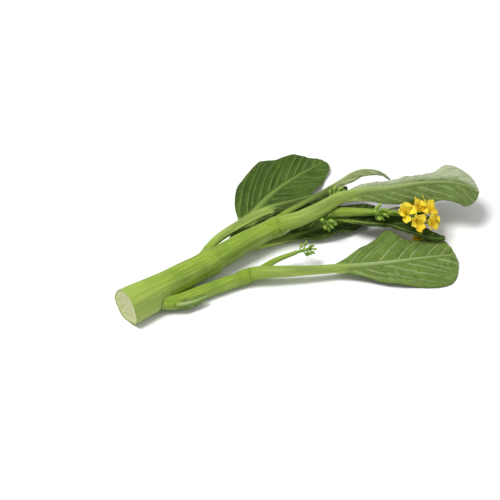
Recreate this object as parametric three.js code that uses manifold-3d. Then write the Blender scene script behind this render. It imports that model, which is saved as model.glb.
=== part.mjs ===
// One cut flowering shoot of choy sum, lying on its side on a table.
// Millimetres, +Z up. The shoot runs along +X, from its cut end to its leaf tips.
// A leaf is a blade and its leaf stalk, grown as one piece. Every piece keeps a small gap to the
// one it grows from, so that each stays a closed solid of its own.
import * as THREE from "three";
import { mergeVertices } from "three/addons/utils/BufferGeometryUtils.js";
import Module from "manifold-3d";

// ---------------------------------------------------------------- driving dimensions

const GAP = 0.35; // clearance between a piece and the one it grows from
const BLADE = 1.2; // thickness of a leaf blade
const TABLE = 0; // height of the surface the shoot lies on
const PRESS = 1.2; // softness with which a blade flattens against the table

const CUT_RADIUS = 10.6; // stem at the cut
const NODE_1 = 25; // distances along the stem of the places where leaves grow
const NODE_2 = 66;
const NODE_3 = 119;
const RACEME_START = 126; // beyond here the stem is the thin stalk of the flower head
const RACEME_RADIUS = 3.1;

const STEM_PATH = [
  [0, 0, 11.1],
  [28, 0, 10.6],
  [66, 0.5, 10.8],
  [95, 0.5, 12.3],
  [120, -1.5, 14],
  [142, -8.5, 15.5],
  [160, -20, 16.8],
  [174, -34, 17.8],
  [188, -47, 17.6],
];
const STEM_RADII = [
  [0, CUT_RADIUS],
  [NODE_1 + 14, 8.9],
  [NODE_2 - 8, 8.2],
  [NODE_2, 8.8],
  [NODE_2 + 7, 7.4],
  [NODE_3 - 7, 6.3],
  [NODE_3, 6.8],
  [RACEME_START + 4, RACEME_RADIUS + 0.6],
  [160, RACEME_RADIUS],
  [204, 1.7],
];
const BRANCH_PATH = [
  [20, -7.5, 7.5],
  [30, -12, 5.9],
  [47, -14, 5.2],
  [63, -17, 5.3],
  [80, -20.5, 5.6],
  [100, -22, 8],
  [114, -27, 11],
];
const BRANCH_NODE = 62; // distance along the branch where its leaf grows
const BRANCH_RADII = [
  [0, 4.2],
  [12, 4.6],
  [50, 4.4],
  [BRANCH_NODE - 2, 4.9],
  [BRANCH_NODE + 8, 2.1],
  [100, 1.3],
];

// Each leaf: the line of its midrib, the way its underside faces at the base and at the tip, the share
// of its length that is stalk, the stalk's half width at its base and where the blade begins, the share
// of the blade after which its end is rounded off, the number and height of the waves in its margins,
// and the thin wings along the two sides of its stalk. The outline gives, from the start of the blade to
// its tip, the half widths on the two sides of the midrib and how far, in radians, each half curls
// towards its upper face.
const LEAVES = {
  top_leaf: {
    path: [
      [112, -0.8, 13.9], [121, -3, 15.2], [132.5, -8.6, 17.8], [148.5, -12.7, 21.5], [162.5, -14.3, 24],
      [179, -21.5, 25.8], [192, -30.7, 27], [211, -41.4, 28], [226, -50, 26.5], [235, -57, 24],
      [241, -66, 20],
    ],
    back: [[0, -0.1, 1], [0.1, -0.25, 1]],
    stalk: 0.37, radii: [5.9, 3.5], tip: 0.93, waves: [3.2, 0.8], wings: [1.2, 1.2],
    outline: [
      [0, 0, 0, 0.7, 0.5], [0.2, 11, 5.5, 0.9, 0.5], [0.36, 15, 9.5, 0.95, 0.7],
      [0.55, 16.5, 11.5, 1, 0.6], [0.72, 17.5, 14, 0.65, 0.4], [0.8, 19, 16, 0.15, 0.2],
      [0.9, 11.5, 18, 0.05, 0.1], [1, 3.5, 17, 0.05, 0.1],
    ],
  },
  far_broad_leaf: {
    path: [[82, 2, 10], [104, 17, 5], [124, 29, 3.4], [152, 40, 2.6], [180, 45, 2], [207, 47, 1]],
    back: [[0, 0.4, -1], [0, 0, -1]],
    stalk: 0.27, radii: [4.4, 3.4], tip: 0.62, waves: [3.4, 1.6], wings: [1.6, 1.6],
    outline: [
      [0, 0, 0, 0.3, 0.4], [0.25, 15, 16, 0.3, 0.4], [0.6, 20, 22, 0.3, 0.45], [1, 16, 17, 0.2, 0.3],
    ],
  },
  far_narrow_leaf: {
    path: [
      [62, 5, 12.2], [82, 12.5, 13.5], [104, 16, 13.5], [127, 17, 13], [150, 13, 12], [170, 8.5, 11.5],
      [188, 5, 11],
    ],
    back: [[0, 1, 0.5], [0, 0.15, 1]],
    stalk: 0.5, radii: [3.4, 2.5], tip: 0.6, waves: [3, 0.9], wings: [6, 2.4],
    outline: [[0, 0, 0, 0.8, 1], [0.3, 6.5, 9, 0.8, 1], [0.6, 7.5, 11, 0.7, 0.9], [1, 5, 7, 0.5, 0.6]],
  },
  branch_leaf: {
    path: [
      [73, -18.9, 6], [81, -22.4, 7.2], [89.5, -29, 8.4], [105, -40, 8.3], [127, -53.2, 7.4],
      [155.5, -69, 6.6], [177, -79, 5.5], [197, -87.5, 3],
    ],
    back: [[0, -0.1, 1], [0, -0.2, 1]],
    stalk: 0.42, radii: [4.6, 2.7], tip: 0.84, waves: [3, 0.8], wings: [0.7, 0.7],
    outline: [
      [0, 0, 0, 0.3, 0.3], [0.12, 6, 3, 0.2, 0.2], [0.25, 13, 8, 0.1, 0.1], [0.4, 20, 15, 0.05, 0.1],
      [0.54, 26.5, 19, 0, 0.12], [0.66, 17.5, 22.5, 0.1, 0.12], [0.78, 16, 24.5, 0.1, 0.12],
      [0.9, 21, 22, 0.1, 0.1], [1, 23, 17, 0.1, 0.1],
    ],
  },
  under_leaf: {
    path: [
      [94, -0.5, 10.5], [108, -2.5, 6.6], [124, -5, 3.8], [146, -9, 2.4], [172, -13, 1.6],
      [196, -17, 1.2],
    ],
    back: [[0, -0.2, -1], [0, 0, -1]],
    stalk: 0.3, radii: [3.4, 2.6], tip: 0.6, waves: [3, 1.2], wings: [1.2, 1.2],
    outline: [
      [0, 0, 0, 0.2, 0.2], [0.3, 11, 11, 0.25, 0.25], [0.6, 14, 13.5, 0.25, 0.25], [1, 11, 11, 0.2, 0.2],
    ],
  },
  arched_leaf: {
    path: [
      [120, 3, 15], [140, 3.8, 16], [158, 3.2, 17.5], [174, 2.4, 20], [187, 1, 23.5], [194, -2.5, 25.5],
      [199.5, -8, 25.8], [204.5, -12, 23], [208, -15.5, 18.5],
    ],
    back: [[0, 0.6, 1], [0.3, 0.3, 1]],
    stalk: 0.5, radii: [2.3, 1.4], tip: 0.6, waves: [2.6, 0.4], wings: [0.8, 0.8],
    outline: [[0, 0, 0, 0.5, 0.6], [0.35, 5.5, 6, 0.6, 0.8], [0.6, 6, 6, 0.6, 0.8], [1, 3, 2.5, 0.4, 0.4]],
  },
  flower_side_leaf: {
    path: [
      [152, -13.5, 14], [158.8, -20.6, 12], [167.7, -33.8, 12], [178.5, -44.9, 11.7], [182.7, -54.5, 11.2],
      [190.4, -69.6, 10], [199.1, -76, 8.5],
    ],
    back: [[0, 0.1, -1], [0, 0.2, -1]],
    stalk: 0.14, radii: [1.8, 1.4], tip: 0.5, waves: [2.6, 0.4], wings: [0.6, 0.6],
    outline: [
      [0, 0, 0, 0.6, 0.2], [0.3, 3, 8.5, 0.9, 0.25], [0.6, 3.2, 9.5, 0.9, 0.2], [1, 2.4, 6, 0.6, 0.2],
    ],
  },
  axil_leaf: {
    path: [[21, -9.5, 7], [28, -16.2, 7.4], [36, -19.2, 7], [46, -20.5, 6.6]],
    back: [[0, -1, 0.5], [0, -0.6, 1]],
    stalk: 0.2, radii: [2, 1.5], tip: 0.3, waves: [2, 0.3], wings: [0.6, 0.6],
    outline: [[0, 0, 0, 0.8, 0.8], [0.4, 2.6, 2.4, 0.9, 0.9], [1, 2, 2, 0.6, 0.6]],
  },
};

// Open flowers: where each sits, the way it faces, how wide its petals spread and how far along the stem
// its stalk starts. The last has dropped, and lies with a stub of its stalk between two leaves.
const FLOWERS = [
  { at: [194.5, -41, 16], face: [0.9, -0.2, 0.1], spread: 0.7, from: 190 },
  { at: [199, -47, 16.5], face: [1, -0.2, 0.1], spread: 0.8, from: 198 },
  { at: [201, -53, 17], face: [1, -0.4, 0.1], spread: 0.75, from: 202 },
  { at: [198.5, -59.5, 16], face: [0.8, -0.7, 0], spread: 0.8, from: 201 },
  { at: [193, -54.5, 20.8], face: [0.2, -0.5, 0.9], spread: 0.85, from: 200 },
  { at: [192.5, -62.5, 17.5], face: [0.3, -1, 0.3], spread: 0.8, from: 199 },
  { at: [185.5, -52, 20.3], face: [-0.4, -0.4, 0.9], spread: 0.75, from: 194 },
  { at: [197, -51.5, 18.8], face: [0.5, -0.1, 1], spread: 0.75, from: 200 },
  { at: [187, -58.5, 19.3], face: [-0.3, -0.8, 0.6], spread: 0.7, from: 197 },
  { at: [197, -57, 20], face: [0.5, -0.5, 0.7], spread: 0.75, from: 203 },
  { at: [192, -58, 5.4], face: [-0.6, -0.8, 0.1], spread: 0.6, stub: [199, -50, 5] },
];
const PETAL_LENGTH = 7.6;
const PETAL_HALF_WIDTH = 2.8;
const PETAL_THICKNESS = 0.8;

// Clusters of closed buds: the line of the cluster's own stalk, how many buds, their length and spread.
const BUD_CLUSTERS = {
  raceme_tip_buds: {
    path: [[189, -48, 17.6], [193, -51.5, 17.8], [197, -55, 17.6]],
    buds: 6, size: 4.4, spread: 0.5,
  },
  near_side_buds: {
    path: [[143, -9, 14.5], [146.5, -16.5, 14], [148.5, -20.5, 12.6]],
    buds: 6, size: 4.6, spread: 0.6,
  },
  middle_buds: {
    path: [[168, -28, 18], [171, -35, 19.7], [176, -41, 20]],
    buds: 6, size: 4.6, spread: 0.6,
  },
  top_buds: {
    path: [[127, 0, 16], [148, -3, 17.6], [164, -5, 19.4], [171, -5.4, 20.4]],
    buds: 6, size: 4.2, spread: 0.5,
  },
  branch_tip_buds: {
    path: [[113, -26.5, 10.8], [118, -29.5, 12], [122, -32, 12.6]],
    buds: 5, size: 4.2, spread: 0.6,
  },
};

// ---------------------------------------------------------------- materials

const skin = (color, roughness) => new THREE.MeshStandardMaterial({ color, roughness, metalness: 0 });
const MATERIALS = {
  stem: skin(0x93b23f, 0.42),
  leaf: skin(0x5d8236, 0.55),
  bud: skin(0x8db13f, 0.5),
  flower: skin(0xf0bd22, 0.6),
};

// ---------------------------------------------------------------- small helpers

const wasm = await Module();
wasm.setup();

const vec = (p) => new THREE.Vector3(...p);
const mix = (a, b, t) => a + (b - a) * t;
const clamp01 = (t) => Math.min(1, Math.max(0, t));
const smooth = (t) => clamp01(t) ** 2 * (3 - 2 * clamp01(t));
const curveThrough = (points) => new THREE.CatmullRomCurve3(points.map(vec), false, "catmullrom", 0.5);

/** A value that passes smoothly through [place, value] pairs. */
function along(stations, s) {
  const next = stations.findIndex(([place]) => place > s);
  if (next === 0) return stations[0][1];
  if (next < 0) return stations[stations.length - 1][1];
  const [s0, v0] = stations[next - 1];
  const [s1, v1] = stations[next];
  return mix(v0, v1, smooth((s - s0) / (s1 - s0)));
}

/** One column of rows [place, value, value ...], joined by a smooth curve through every row. */
function through(rows, s, column) {
  const k = Math.min(Math.max(rows.findIndex(([place]) => place > s) - 1, 0), rows.length - 2);
  const last = s >= rows[rows.length - 1][0] ? rows.length - 2 : k;
  const row = (i) => rows[Math.min(Math.max(last + i, 0), rows.length - 1)];
  const slope = (a, b) => (b[column] - a[column]) / (b[0] - a[0]);
  const width = row(1)[0] - row(0)[0];
  const u = clamp01((s - row(0)[0]) / width);
  const start = width * slope(row(-1) === row(0) ? row(0) : row(-1), row(1));
  const end = width * slope(row(0), row(2) === row(1) ? row(1) : row(2));
  const from = row(0)[column];
  const to = row(1)[column];
  return (1 - u) ** 2 * ((1 + 2 * u) * from + u * start) + u ** 2 * ((3 - 2 * u) * to - (1 - u) * end);
}

/** Keeps a height above the table: far above it nothing changes, and towards it the value levels off. */
const rest = (z, floor) => floor + PRESS * Math.log1p(Math.exp((z - floor) / PRESS));

/** A closed surface through rings of points, with a flat fan on each end. */
function loft(rings) {
  const sides = rings[0].length;
  const points = rings.flat();
  const last = (rings.length - 1) * sides;
  const index = [];
  for (let i = 0; i < rings.length - 1; i++) {
    for (let j = 0; j < sides; j++) {
      const a = i * sides + j;
      const b = i * sides + ((j + 1) % sides);
      index.push(a, b, b + sides, a, b + sides, a + sides);
    }
  }
  const middle = (ring) => ring.reduce((sum, p) => sum.add(p), new THREE.Vector3()).divideScalar(sides);
  points.push(middle(rings[0]), middle(rings[rings.length - 1]));
  for (let j = 0; j < sides; j++) {
    const k = (j + 1) % sides;
    index.push(k, j, points.length - 2, last + j, last + k, points.length - 1);
  }
  return new THREE.BufferGeometry().setFromPoints(points).setIndex(index);
}

/** A closed three.js surface as a manifold-3d solid, turned to face outwards. */
function solid(geometry) {
  const bare = new THREE.BufferGeometry().setAttribute("position", geometry.getAttribute("position"));
  bare.setIndex(geometry.index);
  const merged = mergeVertices(bare, 1e-4);
  const build = (triVerts) =>
    new wasm.Manifold(
      new wasm.Mesh({ numProp: 3, vertProperties: merged.attributes.position.array, triVerts }),
    );
  const made = build(new Uint32Array(merged.index.array));
  return made.volume() > 0 ? made : build(new Uint32Array(merged.index.array).reverse());
}

/** A manifold-3d solid as a three.js geometry. */
function geometryOf(made) {
  const mesh = made.getMesh();
  const position = new Float32Array(mesh.numVert * 3);
  for (let i = 0; i < mesh.numVert; i++) {
    position.set(mesh.vertProperties.subarray(i * mesh.numProp, i * mesh.numProp + 3), i * 3);
  }
  const geometry = new THREE.BufferGeometry();
  geometry.setAttribute("position", new THREE.BufferAttribute(position, 3));
  geometry.setIndex(new THREE.BufferAttribute(mesh.triVerts, 1)).computeVertexNormals();
  return geometry;
}

// ---------------------------------------------------------------- stems and stalks

/** Rings round a path: radiusAt(s, angle) is the radius at a distance along it, extra is added to all. */
function stalk(path, radiusAt, sides, steps, extra) {
  const line = curveThrough(path);
  const length = line.getLength();
  const rings = [];
  for (let i = 0; i <= steps; i++) {
    const t = i / steps;
    const centre = line.getPointAt(t);
    const tangent = line.getTangentAt(t);
    const side = new THREE.Vector3(0, 0, 1).cross(tangent).normalize();
    const up = tangent.clone().cross(side);
    const ring = [];
    for (let j = 0; j < sides; j++) {
      const angle = (2 * Math.PI * (j + 0.5)) / sides;
      const r = radiusAt(t * length, angle) + extra;
      const point = centre.clone().addScaledVector(side, r * Math.cos(angle));
      ring.push(point.addScaledVector(up, r * Math.sin(angle)));
    }
    rings.push(ring);
  }
  return solid(loft(rings));
}

/** The main stem is faintly five-sided, and swollen near its cut end on the side where the branch grows. */
function stemRadius(s, angle) {
  const fluting = 1 + 0.03 * Math.cos(5 * angle + 0.6);
  const towardsBranch = Math.exp(-(((angle - 1.17 * Math.PI) / 0.55) ** 2));
  const swelling = 2 * towardsBranch * (1 - smooth((s - NODE_1 + 1) / 4));
  return along(STEM_RADII, s) * fluting + swelling;
}
const stemSolid = (extra) => stalk(STEM_PATH, stemRadius, 16, 36, extra);
const branchSolid = (extra) => stalk(BRANCH_PATH, (s) => along(BRANCH_RADII, s), 10, 14, extra);

// ---------------------------------------------------------------- leaves

/** One ring of a leaf, grown by extra: its underside from margin to margin, then its upper face back. */
function leafRing(leaf, line, t, extra) {
  const centre = line.getPointAt(t);
  const tangent = line.getTangentAt(t);
  const back = vec(leaf.back[0]).lerp(vec(leaf.back[1]), t);
  back.addScaledVector(tangent, -back.dot(tangent)).normalize();
  const side = tangent.clone().cross(back);
  const q = clamp01((t - leaf.stalk) / (1 - leaf.stalk));
  const tipRound = Math.sqrt(1 - clamp01((q - leaf.tip) / (1 - leaf.tip)) ** 2);
  const rib = mix(mix(leaf.radii[0], leaf.radii[1], smooth(t / leaf.stalk)), 0.5, q ** 0.7);
  const winged = smooth(t / leaf.stalk) * (1 - q);
  const under = [];
  const upper = [];
  for (const v of [-1, -0.5, -0.001, 0.5, 1.001, 1.5, 2]) {
    // from one margin to the rib's edge, across the rib and out to the other margin
    const column = v < 0.5 ? 1 : 2;
    const reach = Math.max(0, through(leaf.outline, q, column)) * tipRound;
    const half = rib + leaf.wings[column - 1] * winged + reach + extra;
    const y = v < 0 ? mix(-rib, -half, -v) : v > 1 ? mix(rib, half, v - 1) : mix(-rib, rib, v);
    const curl = through(leaf.outline, q, column + 2);
    const bend = curl / half;
    const turn = bend * Math.abs(y);
    const across = Math.sign(y) * (bend > 1e-5 ? Math.sin(turn) / bend : Math.abs(y));
    const edge = clamp01((Math.abs(y) - rib) / 12) ** 1.5;
    const phase = 2 * Math.PI * (leaf.waves[0] * q + (y < 0 ? 0 : 0.37));
    const drop = (bend > 1e-5 ? (1 - Math.cos(turn)) / bend : 0) + leaf.waves[1] * edge * Math.sin(phase);
    const normal = back.clone().multiplyScalar(Math.cos(turn));
    normal.addScaledVector(side, Math.sign(y) * Math.sin(turn));
    const round = Math.sqrt(clamp01(1 - (y / rib) ** 2));
    const point = centre.clone().addScaledVector(side, across).addScaledVector(back, -drop);
    const low = point.clone().addScaledVector(normal, BLADE / 2 + rib * round + extra);
    const high = point.clone().addScaledVector(normal, -(BLADE / 2 + 0.3 * rib * round + extra));
    const lift = rest(Math.min(low.z, high.z), TABLE) - Math.min(low.z, high.z);
    low.z += lift;
    high.z += lift;
    under.push(low);
    upper.push(high);
  }
  return [...under, ...upper.reverse()];
}

/** A whole leaf, grown by extra. */
function leafSolid(leaf, extra) {
  const line = curveThrough(leaf.path);
  const stalkSteps = 5;
  const bladeSteps = 13;
  const rings = [];
  for (let i = 0; i < stalkSteps; i++) rings.push(leafRing(leaf, line, (leaf.stalk * i) / stalkSteps, extra));
  for (let i = 0; i <= bladeSteps; i++) {
    rings.push(leafRing(leaf, line, mix(leaf.stalk, 1, Math.min(i / bladeSteps, 0.985)), extra));
  }
  return solid(loft(rings));
}

/** The biggest body of a solid, for a cut that leaves a crumb behind. */
const largest = (made) => made.decompose().sort((a, b) => b.volume() - a.volume())[0];

// ---------------------------------------------------------------- buds and flowers

/** A pointed egg with its blunt end at the origin, along +Z. */
function egg(length, radius) {
  const g = new THREE.OctahedronGeometry(1, 1);
  g.scale(radius, radius, length / 2).translate(0, 0, length * 0.42);
  return g;
}

/** A geometry made along +Z, turned to face a direction and moved to a place. */
function aim(geometry, at, face) {
  const up = new THREE.Vector3(0, 0, 1);
  const turn = new THREE.Quaternion().setFromUnitVectors(up, face.clone().normalize());
  return geometry.applyQuaternion(turn).translate(at.x, at.y, at.z);
}

/** A thin round stalk between two points, bent a little upwards. */
function thinStalk(from, to, radius) {
  const middle = from.clone().lerp(to, 0.5).add(new THREE.Vector3(0, 0, 0.08 * from.distanceTo(to)));
  return stalk([from, middle, to].map((p) => p.toArray()), () => radius, 5, 2, 0);
}

/** Closed buds spread round the end of a short stalk, all grown together. */
function budCluster({ path, buds, size, spread }, extra) {
  let made = stalk(path, () => 1, 6, 5, extra);
  const line = curveThrough(path);
  const length = line.getLength();
  for (let k = 0; k < buds; k++) {
    const t = 1 - (7 * (1 - k / (buds - 1))) / length;
    const root = line.getPointAt(t);
    const out = line.getTangentAt(t);
    const side = new THREE.Vector3(0, 0, 1).cross(out).normalize();
    const up = out.clone().cross(side);
    const angle = 2.4 * k;
    const tilt = spread * (1.9 - k / (buds - 1));
    const way = out.clone().multiplyScalar(Math.cos(tilt));
    way.addScaledVector(side, Math.sin(tilt) * Math.cos(angle));
    way.addScaledVector(up, Math.sin(tilt) * Math.sin(angle));
    const tip = root.clone().addScaledVector(way, size * 0.8);
    made = made.add(thinStalk(root, tip.clone().addScaledVector(way, 0.5), 0.55 + extra));
    made = made.add(solid(aim(egg(size + 2 * extra, size * 0.27 + extra), tip, way)));
  }
  return made;
}

/** An open flower: a green cup on its stalk, and four petals that spread from it in a cross. */
function flowerSolid({ at, face, spread, from, stub }, extra) {
  const line = curveThrough(STEM_PATH);
  const root = stub ? vec(stub) : line.getPointAt(Math.min(from / line.getLength(), 1));
  const centre = vec(at);
  const way = vec(face).normalize();
  const cup = aim(egg(5 + 2 * extra, 1.4 + extra), centre.clone().addScaledVector(way, -1), way);
  let made = thinStalk(root, centre, 0.6 + extra).add(solid(cup));
  for (let k = 0; k < 4; k++) {
    const petal = new THREE.OctahedronGeometry(1, 0);
    petal.scale(PETAL_HALF_WIDTH + extra, PETAL_THICKNESS + extra, PETAL_LENGTH / 2 + extra);
    petal.translate(0, 0, PETAL_LENGTH * 0.45).rotateX(spread + 0.1 * (k % 2));
    petal.rotateZ((Math.PI / 2) * k + 0.4);
    made = made.add(solid(aim(petal, centre.clone().addScaledVector(way, 1.2), way)));
  }
  return made;
}

// ---------------------------------------------------------------- the shoot

const group = new THREE.Group();
const addPiece = (name, material, made) => {
  const mesh = new THREE.Mesh(geometryOf(made), MATERIALS[material]);
  mesh.name = name;
  group.add(mesh);
};

// Pieces in the order in which they are laid: each is trimmed to stand clear of all the ones before it.
const pieces = [
  ["stem", "stem", stemSolid],
  ["side_branch", "stem", branchSolid],
  ...Object.entries(LEAVES).map(([name, leaf]) => [name, "leaf", (extra) => leafSolid(leaf, extra)]),
  ...Object.entries(BUD_CLUSTERS).map(([name, twig]) => [name, "bud", (extra) => budCluster(twig, extra)]),
  ...FLOWERS.map((flower, k) => [`flower_${k + 1}`, "flower", (extra) => flowerSolid(flower, extra)]),
];
let taken = wasm.Manifold.union([]);
for (const [name, material, build] of pieces) {
  addPiece(name, material, largest(build(0).subtract(taken)));
  taken = taken.add(build(GAP));
}

// The origin is the middle of the shoot's footprint, on the table.
const box = new THREE.Box3().setFromObject(group);
const middle = box.getCenter(new THREE.Vector3());
group.position.set(-middle.x, -middle.y, -box.min.z);

export default group;
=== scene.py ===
"""A cut flowering shoot of choy sum, lying on its side on a pale table.

Shapes are worked out in millimetres from the cut end of the stem: +X along the shoot, +Z up. place()
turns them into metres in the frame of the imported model.
"""
import math

import bpy
import numpy as np
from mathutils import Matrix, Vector


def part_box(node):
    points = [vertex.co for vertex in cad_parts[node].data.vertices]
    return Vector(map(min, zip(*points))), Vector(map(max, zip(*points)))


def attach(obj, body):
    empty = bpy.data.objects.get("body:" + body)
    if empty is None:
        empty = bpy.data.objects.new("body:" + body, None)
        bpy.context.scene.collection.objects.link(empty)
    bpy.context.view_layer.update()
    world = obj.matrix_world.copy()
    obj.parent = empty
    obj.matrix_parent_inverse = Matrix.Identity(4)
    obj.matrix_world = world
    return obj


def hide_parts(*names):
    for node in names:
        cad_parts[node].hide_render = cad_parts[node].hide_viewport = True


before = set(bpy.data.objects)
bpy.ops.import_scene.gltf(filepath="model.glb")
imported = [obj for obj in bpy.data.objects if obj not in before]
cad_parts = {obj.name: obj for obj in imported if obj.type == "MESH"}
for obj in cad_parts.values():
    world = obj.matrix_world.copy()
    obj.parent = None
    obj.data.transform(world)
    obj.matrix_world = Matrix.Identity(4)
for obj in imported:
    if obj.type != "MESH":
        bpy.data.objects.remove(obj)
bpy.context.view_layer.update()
MM = 0.001

# ------------------------------------------------------------------ driving dimensions, in millimetres

CUT_RADIUS = 10.6  # stem at the cut
NODE_1, NODE_2, NODE_3 = 25, 66, 119  # where leaves grow, along the stem
RACEME_START, RACEME_RADIUS = 126, 3.1  # the thin stalk of the flower head
BLADE = 0.62  # thickness of a leaf blade
PRESS = 1.2  # softness with which a blade flattens against the table
VEIN_SPACING = 9.5  # between side veins, along the midrib

STEM_PATH = [
    (0, 0, 11.1), (28, 0, 10.6), (66, 0.5, 10.8), (95, 0.5, 12.3), (120, -1.5, 14), (142, -8.5, 15.5),
    (160, -20, 16.8), (174, -34, 17.8), (188, -47, 17.6),
]
STEM_RADII = [
    (0, CUT_RADIUS), (NODE_1 + 14, 8.9), (NODE_2 - 8, 8.2), (NODE_2, 8.8), (NODE_2 + 7, 7.4),
    (NODE_3 - 7, 6.3), (NODE_3, 6.8), (RACEME_START + 4, RACEME_RADIUS + 0.6), (160, RACEME_RADIUS),
    (204, 1.7),
]
RELIEF_END = 206  # along the stem, where its ribs and dents have faded out

# Notches in the skin of the stem: where along it, how far round it in half turns, and how many radians each
# reaches to either side.
STEM_NOTCHES = [
    (NODE_3 - 2, 0.62, 0.2), (NODE_3 + 2, 1.02, 0.16), (NODE_3 - 4, 0.9, 0.3), (NODE_1 - 4, 1.08, 0.14),
    (NODE_1 - 7, 1.17, 0.1),
]

BRANCH_PATH = [
    (20, -7.5, 7.5), (30, -12, 5.9), (47, -14, 5.2), (63, -17, 5.3), (80, -20.5, 5.6), (100, -22, 8),
    (114, -27, 11),
]
BRANCH_NODE = 62
BRANCH_RADII = [(0, 4.2), (12, 4.6), (50, 4.4), (BRANCH_NODE - 2, 4.9), (BRANCH_NODE + 8, 2.1), (100, 1.3)]

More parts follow.
